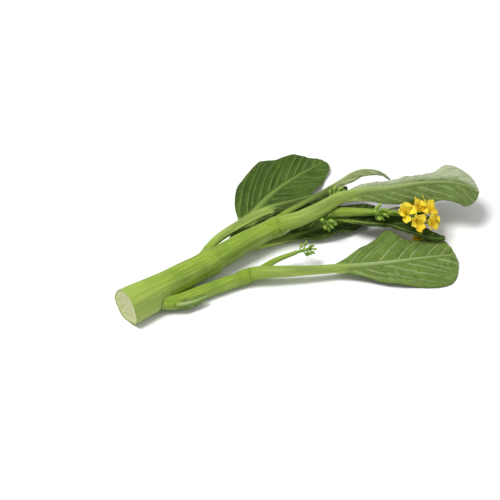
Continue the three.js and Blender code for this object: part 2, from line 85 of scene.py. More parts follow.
# Each leaf: the line of its midrib, the way its underside faces at the base and at the tip, the share of
# its length that is stalk, the stalk's half width at its base and where the blade begins, the share of the
# blade after which its end is rounded off, the waves in its margins (number, height) and the wings along
# its stalk. The outline gives, from the start of the blade to its tip, the half widths of the left and the
# right half and how far, in radians, each half curls towards its upper face. Grid is rows and columns.
LEAVES = {
    "top_leaf": dict(
        path=[(112, -0.8, 13.9), (121, -3, 15.2), (132.5, -8.6, 17.8), (148.5, -12.7, 21.5),
              (162.5, -14.3, 24), (179, -21.5, 25.8), (192, -30.7, 27), (211, -41.4, 28), (226, -50, 26.5),
              (235, -57, 24), (241, -66, 20)],
        back=((0, -0.1, 1), (0.1, -0.25, 1)),
        stalk=0.37, radii=(5.9, 3.5), tip=0.93, waves=(3.2, 0.8), wings=(1.2, 1.2),
        outline=[(0, 0, 0, 0.7, 0.5), (0.2, 11, 5.5, 0.9, 0.5), (0.36, 15, 9.5, 0.95, 0.7),
                 (0.55, 16.5, 11.5, 1, 0.6), (0.72, 17.5, 14, 0.65, 0.4), (0.8, 19, 16, 0.15, 0.2),
                 (0.9, 11.5, 18, 0.05, 0.1), (1, 3.5, 17, 0.05, 0.1)],
        grid=(330, 150), skin="waxy"),
    "far_narrow_leaf": dict(
        path=[(62, 5, 12.2), (82, 12.5, 13.5), (104, 16, 13.5), (127, 17, 13), (150, 13, 12),
              (170, 8.5, 11.5), (188, 5, 11)],
        back=((0, 1, 0.5), (0, 0.15, 1)),
        stalk=0.5, radii=(3.4, 2.5), tip=0.6, waves=(3, 0.9), wings=(6, 2.4),
        outline=[(0, 0, 0, 0.8, 1), (0.3, 6.5, 9, 0.8, 1), (0.6, 7.5, 11, 0.7, 0.9), (1, 5, 7, 0.5, 0.6)],
        grid=(260, 100), skin="dark"),
    "far_broad_leaf": dict(
        path=[(82, 2, 10), (104, 17, 5), (124, 29, 3.4), (152, 40, 2.6), (180, 45, 2), (207, 47, 1)],
        back=((0, 0.4, -1), (0, 0, -1)),
        stalk=0.27, radii=(4.4, 3.4), tip=0.62, waves=(3.4, 1.6), wings=(1.6, 1.6),
        outline=[(0, 0, 0, 0.3, 0.4), (0.25, 15, 16, 0.3, 0.4), (0.6, 20, 22, 0.3, 0.45),
                 (1, 16, 17, 0.2, 0.3)],
        grid=(280, 130), skin="upper"),
    "branch_leaf": dict(
        path=[(73, -18.9, 6), (81, -22.4, 7.2), (89.5, -29, 8.4), (105, -40, 8.3), (127, -53.2, 7.4),
              (155.5, -69, 6.6), (177, -79, 5.5), (197, -87.5, 3)],
        back=((0, -0.1, 1), (0, -0.2, 1)),
        stalk=0.42, radii=(4.6, 2.7), tip=0.84, waves=(3, 0.8), wings=(0.7, 0.7),
        outline=[(0, 0, 0, 0.3, 0.3), (0.12, 6, 3, 0.2, 0.2), (0.25, 13, 8, 0.1, 0.1),
                 (0.4, 20, 15, 0.05, 0.1), (0.54, 26.5, 19, 0, 0.12), (0.66, 17.5, 22.5, 0.1, 0.12),
                 (0.78, 16, 24.5, 0.1, 0.12), (0.9, 21, 22, 0.1, 0.1), (1, 23, 17, 0.1, 0.1)],
        grid=(330, 150), skin="broad"),
    "under_leaf": dict(
        path=[(94, -0.5, 10.5), (108, -2.5, 6.6), (124, -5, 3.8), (146, -9, 2.4), (172, -13, 1.6),
              (196, -17, 1.2)],
        back=((0, -0.2, -1), (0, 0, -1)),
        stalk=0.3, radii=(3.4, 2.6), tip=0.6, waves=(3, 1.2), wings=(1.2, 1.2),
        outline=[(0, 0, 0, 0.2, 0.2), (0.3, 11, 11, 0.25, 0.25), (0.6, 14, 13.5, 0.25, 0.25),
                 (1, 11, 11, 0.2, 0.2)],
        grid=(220, 110), skin="upper"),
    "arched_leaf": dict(
        path=[(120, 3, 15), (140, 3.8, 16), (158, 3.2, 17.5), (174, 2.4, 20), (187, 1, 23.5),
              (194, -2.5, 25.5), (199.5, -8, 25.8), (204.5, -12, 23), (208, -15.5, 18.5)],
        back=((0, 0.6, 1), (0.3, 0.3, 1)),
        stalk=0.5, radii=(2.3, 1.4), tip=0.6, waves=(2.6, 0.4), wings=(0.8, 0.8),
        outline=[(0, 0, 0, 0.5, 0.6), (0.35, 5.5, 6, 0.6, 0.8), (0.6, 6, 6, 0.6, 0.8), (1, 3, 2.5, 0.4, 0.4)],
        grid=(260, 60), skin="pale"),
    "flower_side_leaf": dict(
        path=[(152, -13.5, 14), (158.8, -20.6, 12), (167.7, -33.8, 12), (178.5, -44.9, 11.7),
              (182.7, -54.5, 11.2), (190.4, -69.6, 10), (199.1, -76, 8.5)],
        back=((0, 0.1, -1), (0, 0.2, -1)),
        stalk=0.14, radii=(1.8, 1.4), tip=0.5, waves=(2.6, 0.4), wings=(0.6, 0.6),
        outline=[(0, 0, 0, 0.6, 0.2), (0.3, 3, 8.5, 0.9, 0.25), (0.6, 3.2, 9.5, 0.9, 0.2),
                 (1, 2.4, 6, 0.6, 0.2)],
        grid=(240, 80), skin="dark"),
    "axil_leaf": dict(
        path=[(21, -9.5, 7), (28, -16.2, 7.4), (36, -19.2, 7), (46, -20.5, 6.6)],
        back=((0, -1, 0.5), (0, -0.6, 1)),
        stalk=0.2, radii=(2, 1.5), tip=0.3, waves=(2, 0.3), wings=(0.6, 0.6),
        outline=[(0, 0, 0, 0.8, 0.8), (0.4, 2.6, 2.4, 0.9, 0.9), (1, 2, 2, 0.6, 0.6)],
        grid=(110, 44), skin="broad"),
}

# Open flowers: where each sits, the way it faces, how wide its petals spread, and where its stalk starts:
# a distance along the stem, or a point for the one that has dropped.
FLOWERS = [
    ((194.5, -41, 16), (0.9, -0.2, 0.1), 0.7, 190),
    ((199, -47, 16.5), (1, -0.2, 0.1), 0.8, 198),
    ((201, -53, 17), (1, -0.4, 0.1), 0.75, 202),
    ((198.5, -59.5, 16), (0.8, -0.7, 0), 0.8, 201),
    ((193, -54.5, 20.8), (0.2, -0.5, 0.9), 0.85, 200),
    ((192.5, -62.5, 17.5), (0.3, -1, 0.3), 0.8, 199),
    ((185.5, -52, 20.3), (-0.4, -0.4, 0.9), 0.75, 194),
    ((197, -51.5, 18.8), (0.5, -0.1, 1), 0.75, 200),
    ((187, -58.5, 19.3), (-0.3, -0.8, 0.6), 0.7, 197),
    ((197, -57, 20), (0.5, -0.5, 0.7), 0.75, 203),
    ((192, -58, 5.4), (-0.6, -0.8, 0.1), 0.6, (199, -50, 5)),
]
PETAL_LENGTH, PETAL_HALF_WIDTH = 8.4, 3.1

# Clusters of closed buds: the line of the cluster's stalk, how many buds, their length and spread.
BUD_CLUSTERS = {
    "raceme_tip_buds": ([(189, -48, 17.6), (193, -51.5, 17.8), (197, -55, 17.6)], 13, 4.4, 0.5),
    "near_side_buds": ([(143, -9, 14.5), (146.5, -16.5, 14), (148.5, -20.5, 12.6)], 12, 4.8, 0.6),
    "middle_buds": ([(168, -28, 18), (171, -35, 19.7), (176, -41, 20)], 13, 4.6, 0.6),
    "top_buds": ([(127, 0, 16), (148, -3, 17.6), (164, -5, 19.4), (171, -5.4, 20.4)], 12, 4.2, 0.5),
    "branch_tip_buds": ([(113, -26.5, 10.8), (118, -29.5, 12), (122, -32, 12.6)], 11, 4.2, 0.6),
}


# ------------------------------------------------------------------ small helpers

def mix(a, b, t):
    """The value t of the way from a to b."""
    return a + (b - a) * t


def smooth(t):
    """0 before 0, 1 after 1, and a smooth step between: 3t squared minus 2t cubed."""
    t = np.clip(t, 0, 1)
    return t * t * (3 - 2 * t)


def bell(x):
    """1 at 0, falling smoothly to almost nothing past 2 on either side: e to the power minus x squared."""
    return np.exp(-(x ** 2))


def unit(v):
    """Vectors scaled to length 1."""
    v = np.asarray(v, float)
    return v / np.maximum(np.linalg.norm(v, axis=-1, keepdims=True), 1e-9)


def stepped(stations, s):
    """A value that passes from one [place, value] station to the next by smooth steps."""
    places, values = np.array(stations, float).T
    k = np.clip(np.searchsorted(places, s, side="right") - 1, 0, len(places) - 2)
    return mix(values[k], values[k + 1], smooth((s - places[k]) / (places[k + 1] - places[k])))


def through(rows, q, column):
    """A cubic Hermite curve through one column of [place, values ...] rows, its slopes taken from each
    row's two neighbours."""
    rows = np.array(rows, float)
    place, value = rows[:, 0], rows[:, column]
    k = np.clip(np.searchsorted(place, q, side="right") - 1, 0, len(place) - 2)
    before, after = np.maximum(k - 1, 0), np.minimum(k + 2, len(place) - 1)
    width = place[k + 1] - place[k]
    u = np.clip((q - place[k]) / width, 0, 1)
    start = width * (value[k + 1] - value[before]) / (place[k + 1] - place[before])
    end = width * (value[after] - value[k]) / (place[after] - place[k])
    return ((1 - u) ** 2 * ((1 + 2 * u) * value[k] + u * start)
            + u ** 2 * ((3 - 2 * u) * value[k + 1] - (1 - u) * end))


def route(points, shares):
    """Points and directions at shares of the length of a Catmull-Rom curve through points, and its length."""
    p = np.array(points, float)
    p = np.vstack([2 * p[0] - p[1], p, 2 * p[-1] - p[-2]])
    u = np.linspace(0, len(p) - 3, 1600)
    k = np.minimum(u.astype(int), len(p) - 4)
    f = (u - k)[:, None]
    a, b, c, d = p[k], p[k + 1], p[k + 2], p[k + 3]
    line = 0.5 * (2 * b + (c - a) * f + (2 * a - 5 * b + 4 * c - d) * f ** 2
                  + (3 * b - a - 3 * c + d) * f ** 3)
    run = np.concatenate([[0], np.cumsum(np.linalg.norm(np.diff(line, axis=0), axis=1))])
    at = np.asarray(shares, float) * run[-1]
    centre = np.stack([np.interp(at, run, line[:, i]) for i in range(3)], -1)
    slope = np.gradient(line, run, axis=0)
    tangent = unit(np.stack([np.interp(at, run, slope[:, i]) for i in range(3)], -1))
    return centre, tangent, run[-1]


def ripple(x, y, seed, octaves=3):
    """A smooth irregular wave over two coordinates, about -1 to 1: sines of rising rate and falling height
    that run in directions drawn from the seed."""
    draw = np.random.default_rng(seed)
    total = 0.0
    for octave in range(octaves):
        for _ in range(3):
            way, phase = draw.uniform(0, 2 * math.pi, 2)
            rate = 2 ** octave * draw.uniform(0.8, 1.25)
            wave = np.sin(rate * (x * math.cos(way) + y * math.sin(way)) + phase)
            total = total + wave / (3 * 1.6 ** octave)
    return total


def sided(tangent, up):
    """The side and upward directions square to a path's directions."""
    side = unit(np.cross(up, tangent))
    return side, np.cross(tangent, side)


# ------------------------------------------------------------------ meshes

def tube_faces(rows, columns):
    """Triangles of a closed tube of rows by columns points, with a fan to a pole at each end. The poles are
    the last two points."""
    i, j = np.meshgrid(np.arange(rows - 1), np.arange(columns), indexing="ij")
    a = (i * columns + j).ravel()
    b = (i * columns + (j + 1) % columns).ravel()
    walls = np.concatenate([np.stack([a, b, b + columns], 1), np.stack([a, b + columns, a + columns], 1)])
    k = np.arange(columns)
    last = (rows - 1) * columns
    first_pole, last_pole = rows * columns, rows * columns + 1
    fans = [
        np.stack([(k + 1) % columns, k, np.full(columns, first_pole)], 1),
        np.stack([last + k, last + (k + 1) % columns, np.full(columns, last_pole)], 1),
    ]
    return np.concatenate([walls, *fans])


def tube(rings):
    """Points and triangles of a closed surface through rings, (rows, columns, 3)."""
    rows, columns = rings.shape[:2]
    points = np.concatenate([rings.reshape(-1, 3), rings[:1].mean(1), rings[-1:].mean(1)])
    return points, tube_faces(rows, columns)


def with_poles(values):
    """A per-point value on a grid, with the values of the two poles added."""
    return np.concatenate([values.ravel(), [values[0].mean(), values[-1].mean()]])


def outward(points, triangles):
    """The triangles turned to face outwards: the volume that they enclose is positive."""
    a, b, c = (points[triangles[:, i]] for i in range(3))
    return triangles if np.einsum("ij,ij->i", a, np.cross(b, c)).sum() > 0 else triangles[:, ::-1]


def join(parts):
    """Several (points, triangles, values) meshes as one. Values is a dict of per-point arrays."""
    points, triangles, start = [], [], 0
    for p, t, _ in parts:
        points.append(p)
        triangles.append(outward(p, t) + start)
        start += len(p)
    keys = sorted({key for _, _, values in parts for key in values})
    values = {
        key: np.concatenate([np.broadcast_to(v.get(key, 0.0), len(p)) for p, _, v in parts]) for key in keys
    }
    return np.concatenate(points), np.concatenate(triangles), values


def piece(name, points, triangles, values, material, node, slot):
    """A finished piece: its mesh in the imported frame, smooth, with its per-point values as attributes."""
    mesh = bpy.data.meshes.new(name)
    triangles = outward(points, triangles)
    mesh.vertices.add(len(points))
    mesh.vertices.foreach_set("co", place(points).astype(np.float32).ravel())
    mesh.loops.add(triangles.size)
    mesh.loops.foreach_set("vertex_index", triangles.astype(np.int32).ravel())
    mesh.polygons.add(len(triangles))
    mesh.polygons.foreach_set("loop_start", np.arange(0, triangles.size, 3, dtype=np.int32))
    mesh.polygons.foreach_set("use_smooth", np.ones(len(triangles), bool))
    mesh.update(calc_edges=True)
    for key, value in values.items():
        mesh.attributes.new(key, "FLOAT", "POINT").data.foreach_set("value", value.astype(np.float32))
    mesh.materials.append(material)
    mesh.validate()
    made = bpy.data.objects.new(name, mesh)
    bpy.context.scene.collection.objects.link(made)
    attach(made, "root")
    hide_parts(node)


# ------------------------------------------------------------------ stem and branch

def sheath(s, angle):
    """Nearness to the old leaf base that wraps the branch's side of the stem, from the cut to NODE_1."""
    return bell((angle - 1.17 * math.pi) / 0.55) * (1 - smooth((s - NODE_1 + 1) / 4))


def stem_radius(s, angle):
    """Radius of the stem: its stations, faintly five-sided, and swollen by the sheath."""
    fluting = 1 + 0.03 * np.cos(5 * angle + 0.6)
    return stepped(STEM_RADII, s) * fluting + 2 * sheath(s, angle)


def rings_round(centre, tangent, up, angle, radius):
    """Rings of points about a path: at each angle, a radius away from its centre line."""
    side, top = sided(tangent, up)
    ray = np.cos(angle)[..., None] * side[:, None] + np.sin(angle)[..., None] * top[:, None]
    return centre[:, None] + radius[..., None] * ray


def skin_rings(path, radius, rows, columns):
    """Rings along a path at radius(s, angle), with the distance along it and the angle of each point."""
    shares = np.linspace(0, 1, rows)
    centre, tangent, length = route(path, shares)
    angle = np.broadcast_to(2 * math.pi * (np.arange(columns) + 0.5) / columns, (rows, columns))
    s = np.broadcast_to((shares * length)[:, None], (rows, columns))
    rings = rings_round(centre, tangent, np.array([0, 0, 1.0]), angle, radius(s, angle))
    return rings, s, angle, centre


def stem_marks(s, angle):
    """The raised rims where leaves grew, and the notches cut into the skin: each is a bell across its own
    place along the stem and its own side of it."""
    near = bell((angle - 1.2 * math.pi) / 0.8)
    rims = 0.55 * near * bell((s - NODE_1 - 0.5 + 1.2 * np.cos(7 * angle)) / 1.0)
    over = bell((angle - 0.75 * math.pi) / 1.5)
    for node, height in ((NODE_1, 0.16), (NODE_2, 0.14), (NODE_3, 0.34)):
        rims = rims + height * over * bell((s - node + 1.6 * np.cos(angle)) / 0.9)
    notches = 0
    for at, turn, reach in STEM_NOTCHES:
        notches = notches + np.exp(-(((s - at) / 0.75) ** 2) - (((angle - turn * math.pi) / reach) ** 2))
    return rims, notches


def stem_skin_radius(s, angle):
    """Radius of the stem's skin: fine ribs along it, slow dents across it and the marks at its leaf nodes,
    which all fade towards the stem's tip."""
    ribs = 0.06 * np.cos(15 * angle + 0.8 * np.sin(s / 21))
    fine_ribs = 0.025 * np.cos(34 * angle + 1.3 * np.sin(s / 13))
    dents = 0.16 * ripple(s / 9, 3 * np.cos(angle) + 2 * np.sin(angle), 4)
    rims, notches = stem_marks(s, angle)
    relief = ribs + fine_ribs + dents + rims - 0.5 * notches
    return stem_radius(s, angle) + relief * smooth((RELIEF_END - s) / 30)


def make_stem():
    """The stem: a cut face of rings that shrink to its middle, slightly hollowed, then the skin. The first
    rings of skin lie back from the cut, which rounds its edge."""
    rings, s, angle, centre = skin_rings(STEM_PATH, stem_skin_radius, 460, 180)
    share = np.concatenate([np.linspace(0.02, 0.97, 34), [0.985, 0.996]])[:, None]
    rim = rings[0] - centre[0]
    roughness = 0.13 * ripple(rim[:, 1] * share * 1.1, rim[:, 2] * share * 1.1, 9)
    dish = 0.55 * (1 - share ** 2) - 0.35 * (1 - smooth((1 - share) / 0.05)) + roughness
    face = centre[0] + share[..., None] * rim + np.array([1.0, 0, 0]) * (dish[..., None] - 0.05)
    rings[:3, :, 0] += np.array([0.45, 0.12, 0.0])[:, None]
    points, triangles = tube(np.concatenate([face, rings]))
    rims, notches = stem_marks(s, angle)
    on_skin = np.zeros_like(s)
    on_face = np.zeros_like(share * angle[:1])
    parts = {
        "cut": (on_face + 1, on_skin),
        "share": (on_face + share, on_skin + 1),
        "run": (on_face, s),
        "rim": (on_face, rims + 0.42 * sheath(s, angle)),
        "notch": (on_face, notches),
        "turn_y": (share * rim[:, 1], CUT_RADIUS * np.cos(angle)),
        "turn_z": (share * rim[:, 2], CUT_RADIUS * np.sin(angle)),
    }
    values = {key: with_poles(np.concatenate(pair)) for key, pair in parts.items()}
    piece("choy_stem", points, triangles, values, STEM_SKIN, "stem", "stem")


def branch_rim(s, angle):
    """Nearness to the rim where the branch's leaf grows."""
    return bell((s - BRANCH_NODE + np.cos(angle)) / 0.9)


def branch_radius(s, angle):
    """Radius of the branch: its stations, faintly five-sided, finely ribbed, with the rim at its node."""
    ribs = 0.06 * np.cos(9 * angle) + 0.03 * np.cos(22 * angle + np.sin(s / 9))
    fluting = 1 + 0.03 * np.cos(5 * angle)
    return stepped(BRANCH_RADII, s) * fluting + ribs + 0.25 * branch_rim(s, angle)


def make_branch():
    """The side branch: a thinner ribbed stem, swollen where its leaf grows and creased at its root."""
    rings, s, angle, _ = skin_rings(BRANCH_PATH, branch_radius, 220, 72)
    points, triangles = tube(rings)
    values = {
        "cut": s * 0,
        "share": s * 0 + 1,
        "run": s + 60,
        "rim": 0.4 * branch_rim(s, angle),
        "notch": bell((s - 0.6 - 0.7 * np.cos(3 * angle)) / 0.9),
        "turn_y": 6 * np.cos(angle),
        "turn_z": 6 * np.sin(angle),
    }
    values = {key: with_poles(value) for key, value in values.items()}
    piece("choy_side_branch", points, triangles, values, STEM_SKIN, "side_branch", "stem")


# ------------------------------------------------------------------ leaves

def vein_order(s, y, left, seed):
    """Which side vein a point lies on: a whole number on a vein, a fraction between two. A vein leaves the
    midrib slantwise and bends towards the tip, so it keeps one value of s - k y - 0.016 y squared, warped a
    little, where k is the slant of its half of the leaf. The gaps between veins vary by a third."""
    draw = np.random.default_rng(seed)
    start = s - np.where(left, 1.0, 1.7) * y - 0.016 * y ** 2 + np.where(left, 4.0, 0.0)
    start = start + 2.2 * ripple(s / 15, y / 11 + np.where(left, 7.0, 0.0), seed + 5, 2)
    marks = np.cumsum(VEIN_SPACING * draw.uniform(0.66, 1.34, 26)) - 9 * VEIN_SPACING
    return np.interp(start, marks, np.arange(26))


def leaf_rows(leaf):
    """Shares of the midrib at which rows of points lie: 0.3 of them evenly along the stalk, the others
    along the blade, closer together towards the tip."""
    rows, stalk = leaf["grid"][0], leaf["stalk"]
    t = np.linspace(0, 1, rows)
    t = np.where(t < 0.3, t / 0.3 * stalk, stalk + (1 - stalk) * (1 - (1 - (t - 0.3) / 0.7) ** 1.25))
    return np.minimum(t, 0.9975)


def leaf_widths(leaf, t, q, run, left):
    """Radius of the rib, and half width and curl of each half of a leaf. The half width is the rib, the wing
    along the stalk and the outline, which ends in a quarter of an ellipse."""
    rib = mix(mix(leaf["radii"][0], leaf["radii"][1], smooth(t / leaf["stalk"])), 0.5, q ** 0.7)
    rib = rib * mix(0.9, 1, smooth(run / 9))
    tip_round = np.sqrt(1 - np.clip((q - leaf["tip"]) / (1 - leaf["tip"]), 0, 1) ** 2)
    winged = smooth(t / leaf["stalk"]) * (1 - q)
    halves, curls = [], []
    for k, wing in enumerate(leaf["wings"]):
        reach = np.maximum(0, through(leaf["outline"], q, 1 + k)) * tip_round
        halves.append(rib + wing * winged + reach)
        curls.append(through(leaf["outline"], q, 3 + k))
    return rib, np.where(left, *halves), np.maximum(np.where(left, *curls), 1e-3)


def settle(low, high):
    """Raises both faces of a leaf where it would pass through the table: the height of the lower face levels
    off softly there."""
    lowest = np.minimum(low[..., 2], high[..., 2])
    floor = -SHIFT[2] / MM
    lift = floor + PRESS * np.logaddexp(0, (lowest - floor) / PRESS) - lowest
    low[..., 2] += lift
    high[..., 2] += lift


def leaf_grid(leaf, seed):
    """Underside and upper face of a leaf as (rows, columns, 3) grids, and its per-point values.

    At each share t of the midrib the blade is an arc whose turn grows with the distance y from the midrib,
    which is negative on the left half, to the curl at the margin. The rib is a bell on the underside. Waves
    grow towards the margin, side veins stand out of the underside and sink into the upper face, and the
    blade swells between them."""
    t = leaf_rows(leaf)
    centre, tangent, length = route(leaf["path"], t)
    t = t[:, None]
    back = mix(np.array(leaf["back"][0], float), np.array(leaf["back"][1], float), t)
    back = unit(back - (back * tangent).sum(1, keepdims=True) * tangent)
    side, back = np.cross(tangent, back)[:, None], back[:, None]
    a = np.linspace(-1, 1, leaf["grid"][1])[None]
    left = a < 0
    run = t * length
    q = np.clip((t - leaf["stalk"]) / (1 - leaf["stalk"]), 0, 1)
    s = q * (1 - leaf["stalk"]) * length + 0 * a
    rib, half, curl = leaf_widths(leaf, t, q, run, left)
    half = half * (1 + 0.028 * q * ripple(s / 4, left * 9.0, seed))
    y = np.sign(a) * np.abs(a) ** 1.3 * half
    out = np.abs(y)
    off_rib = np.maximum(out - rib, 0)
    order = vein_order(s, off_rib, left, seed + 2)
    vein_width = mix(0.62, 0.4, np.clip(out / 24, 0, 1))
    vein = bell(np.abs(order - np.round(order)) * VEIN_SPACING / vein_width)
    on_blade = smooth((off_rib - 0.3) / 1.5) * (1 - smooth((out / half - 0.93) / 0.07)) * smooth(q / 0.08)
    edge = np.clip(off_rib / 12, 0, 1) ** 1.5
    phase = 2 * math.pi * (leaf["waves"][0] * q + np.where(left, 0, 0.37))
    frill = 0.35 * edge * np.clip(off_rib / 6, 0, 1) * ripple(s / 3.2, left * 5.0 + y / 9, seed + 1)
    swell = on_blade * (0.36 * np.cos(2 * math.pi * order) + 0.5 * ripple(s / 2.7, y / 2.7, seed + 3))
    turn, bend = curl * out / half, curl / half
    drop = (1 - np.cos(turn)) / bend + leaf["waves"][1] * edge * np.sin(phase) + frill + swell
    swing = np.sign(a) * np.sin(turn)
    point = centre[:, None] + (swing / bend)[..., None] * side - drop[..., None] * back
    normal = np.cos(turn)[..., None] * back + swing[..., None] * side
    rib_reach = 1.35 * rib
    arch = np.maximum(0, 1 - (out / rib_reach) ** 2) ** 1.5
    lines = 0.025 * rib * arch ** 0.5 * np.cos(9 * np.arcsin(np.clip(y / rib_reach, -1, 1)))
    margin = np.sqrt(np.maximum(0.06, 1 - (out / half) ** 14))
    ring = bell((run - 7 - 0.6 * np.cos(3 * a) - 0.5 * ripple(a * 3, a, seed + 4)) / 0.6)
    below = BLADE / 2 * margin - 0.28 * ring + rib * arch + lines + 0.26 * vein * on_blade
    above = -(BLADE / 2 * margin + 0.3 * rib * arch) + 0.16 * vein * on_blade
    low = point + below[..., None] * normal
    high = point + above[..., None] * normal
    settle(low, high)
    values = {
        "order": order,
        "veined": on_blade,
        "ring": ring,
        "rib": arch,
        "blade": smooth(off_rib / 5) * smooth(q / 0.12),
        "run": run + 0 * a,
        "cross": y,
        "base": 1 - smooth(run / 26) + 0 * a,
        "q": q + 0 * a,
        "share": out / half * np.sign(a),
    }
    return low, high, values


def make_leaf(name, leaf, seed):
    """One leaf: its two faces joined round the margin, and closed at both ends."""
    low, high, values = leaf_grid(leaf, seed)
    points, triangles = tube(np.concatenate([low, high[:, ::-1]], 1))
    values = {key: with_poles(np.concatenate([v, v[:, ::-1]], 1)) for key, v in values.items()}
    faces = low.shape[:2]
    values["under"] = with_poles(np.concatenate([np.ones(faces), np.zeros(faces)], 1))
    piece("choy_" + name, points, triangles, values, LEAF_SKINS[leaf["skin"]], name, "leaf")


# ------------------------------------------------------------------ buds and flowers

def thin_stalk(start, end, radius, rise=0.08, end_radius=None):
    """A thin round stalk from start to end that bows upwards by a share of its length."""
    start, end = np.array(start, float), np.array(end, float)
    middle = (start + end) / 2 + np.array([0, 0, rise * np.linalg.norm(end - start)])
    shares = np.linspace(0, 1, 9)
    centre, tangent, _ = route([start, middle, end], shares)
    angle = 2 * math.pi * np.arange(8) / 8
    r = mix(radius, radius if end_radius is None else end_radius, shares)[:, None]
    return tube(rings_round(centre, tangent, np.array([0.13, 0.21, 1.0]), angle, r))


def frame_along(way):
    """Three square directions whose third is way."""
    way = unit(way)
    side = unit(np.cross([0.31, 0.17, 1.0], way))
    return np.stack([side, np.cross(way, side), way])


def bud(root, way, length, radius):
    """A closed bud along way: a pointed egg whose radius is sin(pi u) to the power 0.75, fuller towards its
    base, pinched by four sepal seams."""
    u = np.linspace(0.02, 0.985, 13)[:, None]
    angle = (2 * math.pi * np.arange(16) / 16)[None]
    r = radius * np.sin(math.pi * u ** 0.8) ** 0.75 * (1 + 0.09 * np.cos(4 * angle) * np.sin(math.pi * u))
    local = np.stack([r * np.cos(angle), r * np.sin(angle), length * u + 0 * angle], -1)
    points, triangles = tube(local @ frame_along(way) + np.array(root))
    return points, triangles, {"tip": with_poles(u + 0 * angle), "tone": 0.5}


def bud_cluster(path, buds, size, spread, seed):
    """Buds on short stalks round the end of a sprig, the youngest crowded at its tip."""
    draw = np.random.default_rng(seed)
    rings, _, _, _ = skin_rings(path, lambda s, a: 0.95 + 0.08 * np.cos(5 * a) - 0.003 * s, 24, 10)
    parts = [(*tube(rings), {"tip": 0.0, "tone": 0.3})]
    _, _, length = route(path, [0])
    for k in range(buds):
        late = k / (buds - 1)
        root, out, _ = route(path, [1 - 8 * (1 - late) / length])
        side, up = sided(out, np.array([0, 0, 1.0]))
        tilt = spread * (1.9 - late)
        angle = 2.4 * k
        around = math.cos(angle) * side[0] + math.sin(angle) * up[0]
        way = unit(math.cos(tilt) * out[0] + math.sin(tilt) * around)
        end = root[0] + way * size * mix(0.9, 0.35, late)
        grown = mix(1.05, 0.72, late) * draw.uniform(0.92, 1.08)
        points, triangles = thin_stalk(root[0], end + way * 0.3, 0.42)
        parts.append((points, triangles, {"tip": 0.0, "tone": 0.4}))
        points, triangles, values = bud(end, way, size * grown, size * 0.26 * grown)
        parts.append((points, triangles, {**values, "tone": draw.uniform(0, 1)}))
    return join(parts)


def petal(way, turn, spread, draw):
    """A petal: a narrow claw that widens to a round blade, cupped across, curling back along its length and
    crinkled. Along v its half width is the claw plus a sine arch, and its line leans out by spread."""
    rows = 22
    v = np.linspace(0, 1, rows)[:, None]
    w = np.linspace(-1, 1, 13)[None]
    arch = np.sin(math.pi * np.clip(v - 0.12, 0, 1) ** 1.5) ** 0.7
    half = PETAL_HALF_WIDTH * draw.uniform(0.85, 1.1) * (0.16 + 0.9 * arch)
    half = half * np.sqrt(np.clip((1.005 - v) / 0.14, 0, 1)) ** 0.8
    lean = spread * (0.35 + 1.15 * v + draw.uniform(-0.15, 0.45))
    step = PETAL_LENGTH * draw.uniform(0.85, 1.1) / (rows - 1)
    reach = np.cumsum(np.sin(lean))[:, None] * step
    rise = np.cumsum(np.cos(lean))[:, None] * step
    crinkle = 0.95 * v * ripple(v * 8, w * 2.6, int(draw.integers(1e6)))
    cup = draw.uniform(0.1, 0.35) * half * w ** 2
    middle = np.stack(
        [w * half, reach + crinkle - cup * np.cos(lean), rise + cup * np.sin(lean) + 0 * w], -1)
    thick = np.array([0, 0.11, 0])
    rings = np.concatenate([middle + thick, (middle - thick)[:, ::-1]], 1)
    c, s = math.cos(turn), math.sin(turn)
    spin = np.array([[c, s, 0], [-s, c, 0], [0, 0, 1]])
    points, triangles = tube(rings @ spin @ frame_along(way))
    across = 0 * v + w
    values = {
        "tip": with_poles(np.concatenate([v + 0 * w] * 2, 1)),
        "cross": with_poles(np.concatenate([across, across[:, ::-1]], 1)),
        "tone": draw.uniform(0, 1),
        "petal": 1.0,
    }
    return points, triangles, values


def stamens(at, way, draw):
    """Six stamens that lean out round the middle of a flower, each a thin thread with a small anther."""
    axes = frame_along(way)
    parts = []
    for k in range(6):
        turn = math.pi / 3 * k + 0.2
        lean = 0.28 * (math.cos(turn) * axes[0] + math.sin(turn) * axes[1]) + way
        end = at + way * 1.2 + unit(lean) * draw.uniform(4.2, 5.2)
        points, triangles = thin_stalk(at + way, end, 0.16, rise=0)
        parts.append((points, triangles, {"tip": 0.5, "tone": 0.6, "petal": 1.0}))
        points, triangles, _ = bud(end - way * 0.3, lean, 1.5, 0.36)
        parts.append((points, triangles, {"tip": 0.1, "tone": 0.1, "petal": 1.0}))
    return parts


def flower(at, face, spread, start, seed):
    """An open flower: a stalk, a green cup, four petals in a cross, stamens and a pistil."""
    draw = np.random.default_rng(seed)
    at, way = np.array(at, float), unit(face)
    if np.isscalar(start):
        _, _, length = route(STEM_PATH, [0])
        start = route(STEM_PATH, [min(start / length, 1)])[0][0]
    points, triangles = thin_stalk(start, at, 0.5, end_radius=0.6)
    parts = [(points, triangles, {"tip": 0.0, "tone": 0.4}), bud(at - way, way, 3.6, 1.15)]
    for k in range(4):
        turn = math.pi / 2 * k + 0.4 + draw.uniform(-0.15, 0.15)
        opened = spread * draw.uniform(0.75, 1.2)
        points, triangles, values = petal(way, turn, opened, draw)
        parts.append((points + at + way, triangles, values))
    parts.extend(stamens(at, way, draw))
    points, triangles = thin_stalk(at + way, at + way * 5.4, 0.38, rise=0, end_radius=0.3)
    parts.append((points, triangles, {"tip": 0.2, "tone": 0.2}))
    return join(parts)


# ------------------------------------------------------------------ materials

